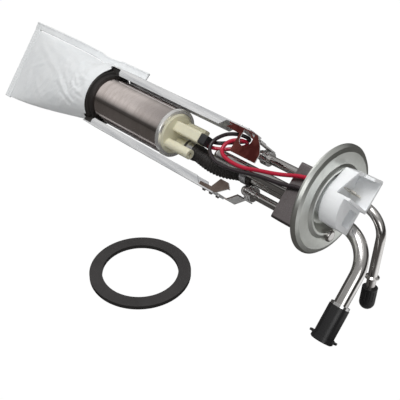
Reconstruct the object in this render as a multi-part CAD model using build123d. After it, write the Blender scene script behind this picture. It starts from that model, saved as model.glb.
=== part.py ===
from build123d import *
import math
import os

# In-tank fuel pump module: flange with pipes, two sheet arms, rotary pump and sock strainer.
# Module axes, before the assembly is laid down: X runs along the pump and out through the flange,
# Y runs across the two arms towards the upper one, Z runs through the open front of the assembly.
# X = 0 is just under the flat of the flange. Millimetres throughout.

# Flange: a stamped steel disc with a raised ring round a sunk centre
flange_radius = 39.2
flange_plane = 2.0
flange_sheet = 1.2
rim_width = 4.5
rim_drop = 2.6
ring_radius = 24.5
ring_width = 3.4
ring_height = 1.3
recess_depth = 2.2

# Connector moulding on the flange
connector_y = 1.5
connector_radius = 19.0
connector_neck_radius = 11.0
connector_neck_y = 2.0
connector_neck_z = 2.5
connector_foot_radius = 14.3
connector_lift = 0.3
connector_low_top = 17.4
connector_back_top = 21.4
connector_front_top = 12.4
connector_back_z = -9.0
connector_end_y = -15.5
connector_wall = 1.9
connector_floor = 1.9
socket_start_y = 2.3
socket_corner_y = 22.5
socket_front_z = 11.0
socket_back_y = 26.0
blade_width = 6.0
blade_thickness = 0.8
blade_tip = 14.5
blade_leg_width = 2.0
blade_y = 10.5
blade_pitch = 8.2
seal_section = 1.6

# Pipes and rods through the flange
supply_radius = 4.95
supply_wall = 0.9
supply_y = -9.7
supply_z = -14.5
supply_bend_x = 34.5
supply_bend_radius = 26.0
supply_drop = 66.0
supply_lean = 3.2
supply_inner_end = -84.0
return_radius = 3.25
return_wall = 0.7
return_y = 8.0
return_z = -15.0
return_bend_x = 31.6
return_bend_radius = 18.0
return_reach = 66.0
return_side_angle = 36.0
return_end_x_shift = 1.4
return_inner_end = -80.0
bead_radius = 4.9
bead_place = 46.5
bead_width = 3.0
post_radius = 4.6
post_y = -7.5
post_end = -103.0
rod_radius = 3.2
rod_y = -20.3
rod_z = -15.0
rod_end = -77.0
rod_head_radius = 4.4
rod_head_height = 2.4
ball_extra = 0.75
collar_wall = 2.4
collar_width = 6.0
return_collar_x = -74.2
rod_collar_x = -70.6
collar_groove = 0.8

# Shipping caps on the pipe ends
ferrule_radius = 6.7
ferrule_width = 1.8
ferrule_place = 46.0
supply_cap_radius = 7.1
supply_cap_length = 25.0
cap_collar_radius = 7.9
cap_collar_width = 4.0
cap_ear_reach = 10.2
cap_ear_width = 3.4
cap_ear_thickness = 1.6
cap_floor = 2.0
cap_fit = 0.12
return_cap_radius = 5.4
return_cap_length = 17.0
return_cap_start = 54.5
cap_ribs = 14

# Channel under the flange
channel_front_z = 7.6
channel_sheet = 1.2
channel_centre_y = -7.6
channel_width = 42.5
channel_length = 26.5
channel_side_depth = 10.5
channel_bend = 1.6

# Pump
pump_y = -8.0
case_radius = 19.0
case_wall = 1.0
case_lip = 1.1
case_front = -146.5
case_back = -233.5
crimp_radius = 19.5
crimp_width = 2.7
crimp_inner = 16.4
end_cap_radius = 16.3
end_cap_depth = 11.0
end_cap_disc = 5.4
tower_length = 27.0
tower_y = -3.2
tower_z = 3.0
tower_width = 8.6
tower_depth = 9.4
rear_tower_y = 1.6
rear_tower_z = -8.0
rear_tower_width = 7.4
rear_tower_length = 19.0
low_tower_y = -17.6
low_tower_z = 4.2
low_tower_radius = 3.9
low_tower_length = 25.0
nipple_y = -13.0
nipple_z = -7.0
nipple_bore = 3.0
nipple_length = 23.0
shaft_radius = 1.5
shaft_tip = 1.5
shaft_tail = 0.6
running_gap = 0.04
bush_radius = 3.6
bush_length = 5.0
terminal_gap = 0.5
commutator_radius = 11.0
commutator_width = 3.2
commutator_gap = 2.0
commutator_bars = 8
brush_radius_place = 7.6
brush_size = 4.6
brush_length = 8.6
brush_guide = 4.0
brush_spring_radius = 1.9
spring_wire = 0.5
air_gap = 0.7
armature_length = 33.0
armature_slots = 8
slot_width = 2.6
slot_mouth = 1.2
winding_bulge = 5.0
winding_inset = 1.4
winding_gap = 2.2
magnet_thickness = 3.7
magnet_lead = 2.0
magnet_length = 38.0
magnet_span = 128.0
impeller_margin = 2.8
impeller_width = 3.2
impeller_vanes = 26
vane_depth = 2.4
cover_floor = 6.88
chamber_plate_width = 6.0
side_gap = 0.12
inlet_radius = 4.2
inlet_bore = 2.8
inlet_offset = 8.0
inlet_reach = 14.0
poppet_radius = 2.3
poppet_stem = 0.9
poppet_length = 7.0
poppet_travel = 1.5

# Rubber boot between pump, arms and strainer
boot_radius = 22.8
boot_step_radius = 20.8
boot_end = -239.5
boot_step_x = -233.8
boot_front = -229.5
boot_lip_inner = 14.0
boot_lip_width = 4.5
ear_width = 12.0
ear_length = 9.0

# Arms: folded channels, lips towards the pump
arm_gauge = 1.0
arm_reach = 26.4
arm_lip = 6.2
arm_half_width = 8.0
arm_lip_back = -228.6
arm_back = -238.5
upper_lip_front = -104.0
lower_lip_front = -97.0
lip_slant = 5.0
upper_arm_front = -80.0
lower_arm_front = -82.0

# Brackets that join the arms to the pipes
bracket_gauge = 1.0
upper_bracket_back = -101.5
upper_web_front = -83.0
upper_foot_start = -83.0
upper_foot_flat = -78.0
upper_foot_front = -70.5
plate_left = -87.5
plate_right = -63.0
plate_low_y = -1.9
plate_shoulder_y = 10.0
plate_slope_run = 9.0
plate_corner_run = 3.0
plate_corner_drop = 5.0
notch_width = 11.0
notch_left = -85.5
notch_low_y = 5.2
lower_bracket_back = -99.0
lower_web_front = -80.5
lower_foot_start = -80.0
lower_foot_flat = -72.0
lower_foot_front = -65.5
tab_back = -81.5
tab_front = -69.8
tab_top_y = -22.6
foot_depth = 8.0
rivet_radius = 1.7
rivet_height = 1.4
rivet_pitch = 7.0
upper_rivet_inset = 5.5
upper_rivet_count = 2
lower_rivet_inset = 3.0
lower_rivet_count = 3

# Hose, clamps and wiring
hose_wall = 1.5
hose_cover = 12.0
hose_rear_run = 16.5
hose_rear_drop = 2.5
hose_rear_side = 2.0
hose_front_run = 9.0
hose_front_drop = 4.3
hose_front_side = 1.5
clamp_width = 6.0
clamp_gauge = 0.8
plug_length = 6.5
plug_width = 8.0
wire_radius = 1.45
wire_sides = 10
wire_bend = 3.4
wire_cover = 5.0
grommet_radius = 2.5
grommet_length = 14.0
wire_front_z = 10.6
red_wire_y = 6.0
black_wire_y = -2.6

# Strainer sock
sock_mouth_x = -239.7
sock_mouth_y = -3.6
sock_mouth_half_y = 27.0
sock_mouth_half_z = 22.6
sock_end_x = -377.0
sock_end_y = -10.8
sock_end_z = -15.0
sock_end_half = 38.0
seam_roll = 7.4
seam_width = 7.0
seam_thickness = 1.8
flap_end_x = -204.0
flap_low_y = 19.2
flap_width = 6.0
flap_thickness = 1.6
neck_radius = 9.0
neck_length = 10.0

# Flat gasket that comes with the module and lies beside it
gasket_outer = 36.4
gasket_inner = 27.3
gasket_thickness = 3.0
gasket_x = -93.0
gasket_y = -88.1


def turned(points, y=pump_y, z=0.0):
    """Solid of revolution about a line along X, from (x, radius) corners."""
    face = make_face(Polyline(*[(x, r) for x, r in points], close=True))
    return Pos(0, y, z) * revolve(face, axis=Axis.X)


def bar(x0, x1, sketch):
    """A sketch in (Y, Z) pushed along X from x0 to x1."""
    return extrude(Plane.YZ.offset(x0) * sketch, x1 - x0)


def rod(x0, x1, radius, y=pump_y, z=0.0):
    return bar(x0, x1, Pos(y, z) * Circle(radius))


def sheet_xy(points, z0, z1):
    """A flat plate outline in (X, Y) between two Z levels."""
    face = make_face(Polyline(*points, close=True))
    return extrude(Pos(0, 0, z0) * face, z1 - z0)


def block(x0, x1, y0, y1, z0, z1):
    return Pos((x0 + x1) / 2, (y0 + y1) / 2, (z0 + z1) / 2) * Box(x1 - x0, y1 - y0, z1 - z0)


def pipe(path, radius, bore=0.0, sides=0):
    """A round section swept along a path, hollow where a bore is given, many-sided where sides are."""
    section = RegularPolygon(radius, sides) if sides else Circle(radius)
    if bore:
        section = section - Circle(bore)
    start = Plane(origin=path @ 0, z_dir=path % 0)
    return sweep(start * section, path=path)


def on_line(origin, direction, distance):
    return origin + direction * distance


def collar_on(origin, direction, start, end, radius, bore=0.0):
    """A ring round a straight pipe run, from start to end along it."""
    plane = Plane(origin=on_line(origin, direction, start), z_dir=direction)
    section = Circle(radius)
    if bore:
        section = section - Circle(bore)
    return extrude(plane * section, end - start)


# Pipe routes outside the flange
supply_axis = Vector(0, -math.cos(math.radians(supply_lean)), -math.sin(math.radians(supply_lean)))
supply_corner = Vector(supply_bend_x, supply_y, supply_z)
supply_end = supply_corner + supply_axis * supply_drop
return_corner = Vector(return_bend_x, return_y, return_z)
return_side = math.radians(return_side_angle)
return_axis = Vector(
    return_end_x_shift / return_reach, -math.cos(return_side), -math.sin(return_side)
).normalized()
return_end = return_corner + return_axis * return_reach


ring_top = flange_plane + ring_height
connector_base = ring_top + connector_lift


def flange_plate():
    sunk = -recess_depth
    inner_ring = ring_radius - ring_width
    top = [
        (sunk, 0),
        (sunk, inner_ring - ring_width),
        (ring_top * 0.5, inner_ring),
        (ring_top, inner_ring + ring_width * 0.35),
        (ring_top, ring_radius - ring_width * 0.2),
        (flange_plane, ring_radius + ring_width * 0.6),
        (flange_plane, flange_radius - rim_width),
        (flange_plane - rim_drop * 0.35, flange_radius - rim_width * 0.35),
        (flange_plane - rim_drop, flange_radius),
    ]
    under = [(x - flange_sheet, r) for x, r in reversed(top)]
    plate = turned(top + under, y=0)
    deep = 20.0
    for y, z, radius in (
        (supply_y, supply_z, supply_radius),
        (return_y, return_z, return_radius),
        (rod_y, rod_z, rod_radius),
        (connector_neck_y, connector_neck_z, connector_neck_radius),
    ):
        plate -= rod(-deep, deep, radius, y, z)
    return plate


def support_channel():
    """Folded channel welded under the flange, open towards the back."""
    top = -recess_depth - flange_sheet
    half = channel_width / 2
    outer = Pos(channel_centre_y, channel_front_z - channel_side_depth / 2) * RectangleRounded(
        channel_width, channel_side_depth, channel_bend
    )
    inner = Pos(
        channel_centre_y, channel_front_z - channel_sheet - channel_side_depth / 2
    ) * Rectangle(channel_width - 2 * channel_sheet, channel_side_depth)
    channel = bar(top - channel_length, top, outer - inner)
    corner_cut = channel_side_depth * 0.55
    low = top - channel_length
    for side in (-1, 1):
        y = channel_centre_y + side * half
        wedge = make_face(
            Polyline(
                (low, y, channel_front_z - channel_side_depth - 1),
                (low + corner_cut, y, channel_front_z - channel_side_depth - 1),
                (low, y, channel_front_z - channel_side_depth + corner_cut),
                close=True,
            )
        )
        channel -= extrude(wedge, 2 * channel_bend, dir=(0, -side, 0))
    return channel


def connector_outline():
    drum = Pos(connector_y, 0) * Circle(connector_radius)
    front_corner = Pos(socket_corner_y - 2, socket_front_z - 0.5) * Circle(2)
    back_corner = Pos(socket_back_y - 1.5, connector_back_z + 2) * Circle(2)
    edges = drum.edges() + front_corner.edges() + back_corner.edges()
    outline = make_face(make_hull(edges))
    far = 60.0
    outline -= Pos(0, connector_back_z - far / 2) * Rectangle(2 * far, far)
    outline -= Pos(connector_end_y - far / 2, 0) * Rectangle(far, 2 * far)
    return outline


def connector_housing():
    outline = connector_outline()
    base = connector_base
    low = connector_low_top
    back = connector_back_top
    body = bar(base, back, outline)
    far = 60.0
    body -= block(low, back + far, -far, socket_start_y, -far, far)
    inside = offset(outline, -connector_wall)
    inside -= Pos(socket_start_y + connector_wall - far / 2, 0) * Rectangle(far, 2 * far)
    body -= bar(base + connector_floor, back + far, inside)
    wall_cut = make_face(
        Polyline(
            (connector_front_top - 2.0, socket_start_y + connector_wall, 0),
            (connector_front_top + 2.0, socket_corner_y + 4, 0),
            (back + 5, socket_corner_y + 4, 0),
            (back + 5, socket_start_y + connector_wall, 0),
            close=True,
        )
    )
    body -= Pos(0, 0, socket_front_z - 8) * extrude(wall_cut, 40)
    pocket = Pos((connector_end_y + socket_start_y) / 2 + 0.5, -0.5) * RectangleRounded(
        socket_start_y - connector_end_y - 6.0, 11.0, 2.0
    )
    body -= bar(low - 7.0, low + far, pocket)
    foot = bar(-recess_depth, base, Pos(connector_neck_y, connector_neck_z) * Circle(connector_foot_radius))
    foot -= bar(-far, far, Pos(0, connector_back_z - far / 2) * Rectangle(2 * far, far))
    neck = rod(-recess_depth - flange_sheet, -recess_depth, connector_neck_radius, connector_neck_y,
               connector_neck_z)
    groove = rod(-recess_depth, -recess_depth + seal_section, connector_foot_radius - 1.5,
                 connector_neck_y, connector_neck_z)
    groove -= rod(-far, far, connector_neck_radius + 0.6, connector_neck_y, connector_neck_z)
    groove -= block(-far, far, -far, far, -far, connector_back_z + 1.5)
    housing = body + foot + neck
    housing -= groove
    for side in (1, -1):
        housing -= terminal_blade(side, -recess_depth - flange_sheet - 1, back)
    for y in (red_wire_y, black_wire_y):
        housing -= rod(-recess_depth - flange_sheet - 1, -recess_depth - flange_sheet + wire_cover, wire_radius, y,
                       wire_front_z)
    return housing


def terminal_blade(side, start, end):
    """Wide blade above the housing's base, with a narrow leg down through the neck."""
    low = blade_y - blade_thickness / 2
    high = blade_y + blade_thickness / 2
    inner = blade_pitch / 2 - blade_width / 2
    leg_edges = sorted((side * inner, side * (inner + blade_leg_width)))
    blade_edges = sorted((side * inner, side * (inner + blade_width)))
    leg = block(start, connector_base, low, high, *leg_edges)
    return leg + block(connector_base, end, low, high, *blade_edges)


def connector_terminals():
    blades = []
    for side in (1, -1):
        blade = terminal_blade(side, -recess_depth - flange_sheet, blade_tip)
        tip = blade.edges().filter_by(Axis.Y).group_by(Axis.X)[-1]
        blades.append(chamfer(tip, 1.2))
    return Compound(children=blades)


def connector_seal():
    far = 60.0
    ring = rod(-recess_depth, -recess_depth + seal_section - 0.05, connector_foot_radius - 1.6,
               connector_neck_y, connector_neck_z)
    ring -= rod(-far, far, connector_neck_radius + 0.7, connector_neck_y, connector_neck_z)
    ring -= block(-far, far, -far, far, -far, connector_back_z + 1.6)
    return ring


def supply_tube():
    route = FilletPolyline(
        (supply_inner_end, supply_y, supply_z), supply_corner, supply_end, radius=supply_bend_radius
    )
    return pipe(route, supply_radius, supply_radius - supply_wall)


def ball_end(x, radius, y, z, bore):
    """Rolled round end of a tube: a ball a little fatter than the tube, still open."""
    ball = radius + ball_extra
    end = Pos(x + ball * 0.85, y, z) * Sphere(ball)
    end -= rod(x - 2 * ball, x + 3 * ball, bore, y, z)
    end -= block(x + ball * 1.7, x + 3 * ball, y - 9, y + 9, z - 9, z + 9)
    return end


def return_tube():
    route = FilletPolyline(
        (return_inner_end + 1, return_y, return_z), return_corner, return_end, radius=return_bend_radius
    )
    bore = return_radius - return_wall
    tube = pipe(route, return_radius, bore)
    bead_face = make_face(
        Polyline((bore + 0.1, -bead_width / 2), (return_radius, -bead_width / 2),
                 (bead_radius, -bead_width * 0.15), (bead_radius, bead_width * 0.15),
                 (return_radius, bead_width / 2), (bore + 0.1, bead_width / 2), close=True)
    )
    ring = revolve(Plane.XZ * bead_face, axis=Axis.Z)
    place = Plane(origin=on_line(return_corner, return_axis, bead_place), z_dir=return_axis)
    tube += place.location * ring
    return tube + ball_end(return_inner_end, return_radius, return_y, return_z, bore)


def centre_post():
    top = -recess_depth - flange_sheet
    post = rod(post_end, top, post_radius, post_y, 0)
    return fillet(post.edges().group_by(Axis.X)[0], post_radius * 0.92)


def support_rod():
    stem = rod(rod_end + rod_radius, ring_top, rod_radius, rod_y, rod_z)
    ball = rod_radius + ball_extra
    stem += Pos(rod_end + ball, rod_y, rod_z) * Sphere(ball)
    head = rod(ring_top, ring_top + rod_head_height, rod_head_radius, rod_y, rod_z)
    head = fillet(head.edges().group_by(Axis.X)[-1], rod_head_height * 0.8)
    return stem + head


def rod_collars():
    """Pressed ferrules with two rolled grooves, one on each rod."""
    rings = []
    for x, y, z, radius in (
        (return_collar_x, return_y, return_z, return_radius),
        (rod_collar_x, rod_y, rod_z, rod_radius),
    ):
        outer = radius + collar_wall
        third = collar_width / 5
        waist = outer - collar_groove
        rings.append(
            turned(
                [(x, radius), (x, outer), (x + third, outer), (x + 1.4 * third, waist),
                 (x + 1.8 * third, outer), (x + 3.2 * third, outer), (x + 3.6 * third, waist),
                 (x + 4 * third, outer), (x + collar_width, outer), (x + collar_width, radius)],
                y=y, z=z,
            )
        )
    return Compound(children=rings)


def supply_ferrule():
    return collar_on(supply_corner, supply_axis, ferrule_place, ferrule_place + ferrule_width,
                     ferrule_radius, supply_radius)


def supply_cap():
    start = ferrule_place + ferrule_width + cap_fit
    end = start + supply_cap_length
    cap = collar_on(supply_corner, supply_axis, start, end, supply_cap_radius)
    cap += collar_on(supply_corner, supply_axis, end - cap_collar_width, end - 0.6, cap_collar_radius)
    cap -= collar_on(supply_corner, supply_axis, start - 1, end - cap_floor, supply_radius + cap_fit)
    middle = on_line(supply_corner, supply_axis, end - cap_collar_width + cap_ear_thickness / 2)
    ear_plane = Plane(origin=middle, x_dir=(1, 0, 0), z_dir=supply_axis)
    ears = ear_plane.location * Box(2 * cap_ear_reach, cap_ear_width, cap_ear_thickness)
    ears -= collar_on(supply_corner, supply_axis, start, end + 1, supply_cap_radius - 0.4)
    return cap + ears


def return_cap():
    start = return_cap_start
    end = start + return_cap_length
    cap = collar_on(return_corner, return_axis, start, end - return_cap_radius, return_cap_radius)
    dome = on_line(return_corner, return_axis, end - return_cap_radius)
    cap += Pos(*dome) * Sphere(return_cap_radius)
    cap -= collar_on(return_corner, return_axis, start - 1, return_reach + 0.5, return_radius + cap_fit)
    rib_plane = Plane(origin=on_line(return_corner, return_axis, start + 1.5), x_dir=(1, 0, 0),
                      z_dir=return_axis)
    grooves = []
    for i in range(cap_ribs):
        spot = rib_plane.location * Rot(0, 0, i * 360 / cap_ribs) * Pos(return_cap_radius + 0.25, 0, 0)
        grooves.append(extrude(spot * Circle(0.55), return_cap_length - 2 * return_cap_radius + 1))
    return cap - grooves


face = case_front + 1.0
disc_back = case_front - case_lip - end_cap_disc
tower_front = face + tower_length
terminal_ys = (tower_y - 2.2, tower_y + 2.2)
terminal_back = disc_back + bush_length + terminal_gap
magnet_inner = case_radius - case_wall - magnet_thickness
armature_radius = magnet_inner - air_gap
winding_radius = armature_radius - winding_inset
impeller_radius = case_radius - case_wall - impeller_margin
commutator_front = case_front - case_lip - end_cap_depth - commutator_gap
armature_front = commutator_front - commutator_width - winding_gap - winding_bulge
magnet_front = armature_front + magnet_lead
impeller_front = case_back + case_lip + cover_floor + side_gap + impeller_width
shaft_front = disc_back + bush_length - shaft_tip
shaft_back = impeller_front - impeller_width - shaft_tail
valve_stop_x = face + nipple_length - 3.0


def casing():
    front = case_front
    back = case_back
    inner = case_radius - case_wall
    return turned(
        [
            (back, inner - case_lip), (back, case_radius - 0.8), (back + 0.8, case_radius),
            (front - crimp_width - 1, case_radius), (front - crimp_width, crimp_radius),
            (front - 0.7, crimp_radius), (front, crimp_radius - 0.7), (front, crimp_inner),
            (front - case_lip, crimp_inner), (front - case_lip, inner), (back + case_lip, inner),
            (back + case_lip, inner - case_lip),
        ]
    )


def end_cap():
    inner = case_radius - case_wall
    shoulder = case_front - case_lip
    skirt_back = shoulder - end_cap_depth
    cap = turned(
        [
            (skirt_back, inner - 1.6), (skirt_back, inner), (shoulder, inner), (shoulder, end_cap_radius),
            (face - 1.2, end_cap_radius), (face, end_cap_radius - 1.5), (face, 0), (disc_back, 0),
            (disc_back, inner - 1.6),
        ]
    )
    tower_end = face + tower_length
    tower = bar(face - 0.5, tower_end,
                Pos(tower_y, tower_z) * RectangleRounded(tower_width, tower_depth, 1.6))
    rear = bar(face - 0.5, face + rear_tower_length,
               Pos(rear_tower_y, rear_tower_z) * RectangleRounded(rear_tower_width, 6.0, 1.4))
    low = rod(face - 0.5, face + low_tower_length, low_tower_radius, low_tower_y, low_tower_z)
    nipple = rod(face - 0.5, face + nipple_length, supply_radius, nipple_y, nipple_z)
    cap += tower + rear + low + nipple
    cap -= bar(tower_end - 7, tower_end,
               Pos(tower_y, tower_z) * RectangleRounded(tower_width - 2.6, tower_depth - 2.6, 0.8))
    cap -= rod(face + low_tower_length - 6, face + low_tower_length, 1.6, low_tower_y, low_tower_z)
    seat = face + nipple_length - 8
    cap -= rod(disc_back, face + nipple_length, nipple_bore - 1.4, nipple_y, nipple_z)
    cap -= rod(seat - poppet_length - poppet_travel, face + nipple_length, nipple_bore, nipple_y, nipple_z)
    cap -= rod(disc_back - 1, disc_back + bush_length, bush_radius, pump_y, 0)
    for side in (-1, 1):
        hole = Pos(pump_y, side * brush_radius_place) * Rectangle(brush_size + 0.2, brush_size + 0.2)
        cap -= bar(disc_back - 1, disc_back + brush_guide, hole)
        cap -= rod(disc_back - 1, face - 1.0, brush_spring_radius + spring_wire + 0.1, pump_y,
                   side * brush_radius_place)
    for y in terminal_ys:
        cap -= block(terminal_back, tower_end, y - 0.4, y + 0.4, tower_z - 1.2, tower_z + 1.2)
    return cap


def pump_magnets():
    """Two arc magnets against the casing wall, one above and one below the armature."""
    outer = case_radius - case_wall
    ring = Circle(outer) - Circle(magnet_inner)
    far = 40.0
    edge = math.radians((180 - magnet_span) / 2)
    dy = far * math.cos(edge)
    dz = far * math.sin(edge)
    wedge = make_face(Polyline((0, 0), (dy, dz), (dy, far), (-dy, far), (-dy, dz), close=True))
    arcs = [
        bar(magnet_front - magnet_length, magnet_front, Pos(pump_y, 0) * Rot(0, 0, turn) * (ring & wedge))
        for turn in (-90, 90)
    ]
    return Compound(children=arcs)


def bush(x0, x1):
    ring = Pos(pump_y, 0) * (Circle(bush_radius) - Circle(shaft_radius + running_gap))
    return bar(x0, x1, ring)


def motor_shaft():
    shaft = rod(shaft_back, shaft_front, shaft_radius)
    return chamfer(shaft.edges().filter_by(GeomType.CIRCLE), 0.3)


def armature():
    """Slotted iron core: slots open through a narrow mouth, as punched laminations are."""
    section = Circle(armature_radius) - Circle(shaft_radius)
    slot_middle = (armature_radius + shaft_radius) / 2 + 1.2
    slot_length = armature_radius - shaft_radius - 6.0
    for i in range(armature_slots):
        turn = Rot(0, 0, i * 360 / armature_slots)
        pocket = Pos(slot_middle, 0) * RectangleRounded(slot_length, slot_width, slot_width * 0.45)
        mouth = Pos(armature_radius, 0) * Rectangle(6.0, slot_mouth)
        section -= turn * (pocket + mouth)
    return bar(armature_front - armature_length, armature_front, Pos(pump_y, 0) * section)


def armature_windings():
    """Copper in the slots, with an end turn ring at each side of the core."""
    slot_middle = (armature_radius + shaft_radius) / 2 + 1.2
    slot_length = armature_radius - shaft_radius - 6.4
    back = armature_front - armature_length
    bundle = Pos(slot_middle, 0) * Rectangle(slot_length - slot_width, slot_width - 0.3)
    coils = [
        bar(back, armature_front, Pos(pump_y, 0) * Rot(0, 0, i * 360 / armature_slots) * bundle)
        for i in range(armature_slots)
    ]
    inner = shaft_radius + 1.4
    for x0, x1 in ((back - winding_bulge, back), (armature_front, armature_front + winding_bulge)):
        ring = Pos(pump_y, 0) * (Circle(winding_radius) - Circle(inner))
        end_turns = bar(x0, x1, ring)
        rims = [e for e in end_turns.edges().filter_by(GeomType.CIRCLE) if e.radius > inner + 1]
        coils.append(chamfer(rims, 1.6))
    return coils[0].fuse(*coils[1:])


def commutator():
    """Disc commutator: copper segments cut by narrow slots on a plain hub."""
    ring = Circle(commutator_radius) - Circle(shaft_radius)
    plate = bar(commutator_front - commutator_width, commutator_front, Pos(pump_y, 0) * ring)
    far = commutator_radius * 2
    for i in range(commutator_bars):
        slot = Pos(commutator_front, pump_y, 0) * Rot(i * 360 / commutator_bars, 0, 0)
        plate -= slot * Pos(0, far / 2 + 2.6, 0) * Box(1.8, far, 0.5)
    return plate


def brushes():
    blocks = []
    for side in (1, -1):
        z = side * brush_radius_place
        half = brush_size / 2
        x0 = commutator_front + running_gap
        blocks.append(block(x0, x0 + brush_length, pump_y - half, pump_y + half, z - half, z + half))
    return Compound(children=blocks)


def coil_spring(x0, x1, radius, wire, turns, y, z):
    route = Helix(pitch=(x1 - x0 - wire) / turns, height=x1 - x0 - wire, radius=radius)
    start = Plane(origin=route @ 0, z_dir=route % 0)
    coil = sweep(start * Rectangle(wire, wire), path=route, is_frenet=True)
    return Pos(x0 + wire / 2, y, z) * Rot(0, 90, 0) * coil


def brush_springs():
    x0 = commutator_front + running_gap + brush_length
    return Compound(
        children=[
            coil_spring(x0, face - 1.0, brush_spring_radius, spring_wire, 4, pump_y, side * brush_radius_place)
            for side in (1, -1)
        ]
    )


def pump_terminals():
    blades = [
        block(terminal_back, tower_front - 2.0, y - 0.4, y + 0.4, tower_z - 1.2, tower_z + 1.2)
        for y in terminal_ys
    ]
    return Compound(children=blades)


chamber_back = impeller_front + side_gap
chamber_front = chamber_back + chamber_plate_width
cover_back = case_back + case_lip


def chamber_plate():
    inner = case_radius - case_wall
    plate = rod(chamber_back, chamber_front, inner)
    plate -= rod(chamber_back - 1, chamber_front + 1, bush_radius)
    channel = Pos(pump_y, 0) * (Circle(impeller_radius) - Circle(impeller_radius - vane_depth))
    plate -= bar(chamber_back, chamber_back + 1.2, channel)
    plate -= rod(chamber_back, chamber_front, 1.6, pump_y, impeller_radius - vane_depth / 2)
    return plate


def inlet_cover():
    inner = case_radius - case_wall
    pocket_back = impeller_front - impeller_width - side_gap
    cover = rod(cover_back, chamber_back, inner)
    cover += rod(cover_back - inlet_reach, cover_back, inlet_radius, pump_y, -inlet_offset)
    cover -= rod(pocket_back, chamber_back, impeller_radius + side_gap)
    cover -= rod(pocket_back - 1.5, pocket_back, shaft_radius + 0.6)
    channel = Pos(pump_y, 0) * (Circle(impeller_radius) - Circle(impeller_radius - vane_depth))
    cover -= bar(pocket_back - 1.2, pocket_back, channel)
    cover -= rod(cover_back - inlet_reach, pocket_back, inlet_bore, pump_y, -inlet_offset)
    feed = Pos(pump_y, -(impeller_radius + inlet_offset) / 2) * Rectangle(3.0, impeller_radius - inlet_offset)
    cover -= bar(pocket_back - 1.2, pocket_back, feed)
    return cover


def impeller():
    """Side channel impeller: vanes cut into both faces of the rim."""
    wheel = rod(impeller_front - impeller_width, impeller_front, impeller_radius)
    wheel -= rod(impeller_front - 9, impeller_front + 9, shaft_radius)
    middle = impeller_radius - vane_depth / 2
    cuts = []
    for i in range(impeller_vanes):
        turn = Rot(i * 360 / impeller_vanes, 0, 0)
        for x in (impeller_front, impeller_front - impeller_width):
            cuts.append(Pos(x, pump_y, 0) * turn * Pos(0, middle, 0) * Box(2.4, vane_depth + 0.1, 2.3))
    return wheel.cut(*cuts)


def check_valve():
    """Poppet that lifts off the seat inside the outlet nipple."""
    seat = face + nipple_length - 8 - poppet_length - poppet_travel
    stem = rod(seat - 3, seat + poppet_length, poppet_stem, nipple_y, nipple_z)
    head = rod(seat, seat + 2.2, poppet_radius, nipple_y, nipple_z)
    return stem + head


def check_valve_spring():
    seat = face + nipple_length - 8 - poppet_length - poppet_travel
    x1 = valve_stop_x - poppet_travel - running_gap
    return coil_spring(seat + 2.2, x1, poppet_radius - 0.3, spring_wire, 6, nipple_y, nipple_z)


def valve_stop():
    ring = Pos(nipple_y, nipple_z) * (Circle(nipple_bore) - Circle(poppet_stem + 0.6))
    return bar(valve_stop_x, valve_stop_x + 1.0, ring)


def pump_plug():
    """Wiring plug pushed on the terminal tower."""
    plug = bar(tower_front, tower_front + plug_length,
               Pos(tower_y, tower_z) * RectangleRounded(plug_width, tower_depth - 0.6, 1.4))
    plug += bar(tower_front - 5.0, tower_front,
                Pos(tower_y, tower_z) * RectangleRounded(tower_width - 3.0, tower_depth - 3.0, 0.7))
    for y in terminal_ys:
        plug -= block(tower_front - 6.0, tower_front - 1.9, y - 0.5, y + 0.5, tower_z - 1.3, tower_z + 1.3)
    return plug


def isolator_boot():
    """Rubber cup over the inlet end, with an ear that fills each arm."""
    lip_front = case_back
    boot = turned(
        [
            (boot_end, case_radius), (boot_end, boot_radius - 1), (boot_end + 1, boot_radius),
            (boot_step_x - 0.6, boot_radius), (boot_step_x, boot_radius - 0.6),
            (boot_step_x + 0.4, boot_step_radius), (boot_front, boot_step_radius), (boot_front, case_radius),
            (lip_front, case_radius), (lip_front, boot_lip_inner), (lip_front - boot_lip_width, boot_lip_inner),
            (lip_front - boot_lip_width, case_radius),
        ]
    )
    for side in (1, -1):
        y0 = pump_y + side * (boot_step_radius - 2.5)
        y1 = pump_y + side * (arm_reach - arm_gauge)
        ear = block(boot_end, boot_end + ear_length, min(y0, y1), max(y0, y1), -ear_width / 2, ear_width / 2)
        ear -= rod(boot_end - 1, boot_end + ear_length + 1, boot_step_radius - 1)
        boot += ear
    return boot


def arm(side, lip_front, front):
    """One folded channel arm; side is +1 for the upper arm and -1 for the lower one."""
    web_outer = pump_y + side * arm_reach
    web_inner = web_outer - side * arm_gauge
    lip_end = web_outer - side * arm_lip
    y0, y1 = sorted((web_outer, web_inner))
    piece = block(arm_back, front, y0, y1, -arm_half_width, arm_half_width)
    outline = [
        (arm_lip_back + 2.0, lip_end), (lip_front - lip_slant, lip_end), (lip_front, web_inner),
        (arm_lip_back, web_inner), (arm_lip_back, lip_end + side * 2.0),
    ]
    piece += sheet_xy(outline, arm_half_width - arm_gauge, arm_half_width)
    piece += sheet_xy(outline, -arm_half_width, arm_gauge - arm_half_width)
    return piece


upper_web_y = pump_y + arm_reach - arm_gauge
lower_web_y = pump_y - arm_reach + arm_gauge


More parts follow.
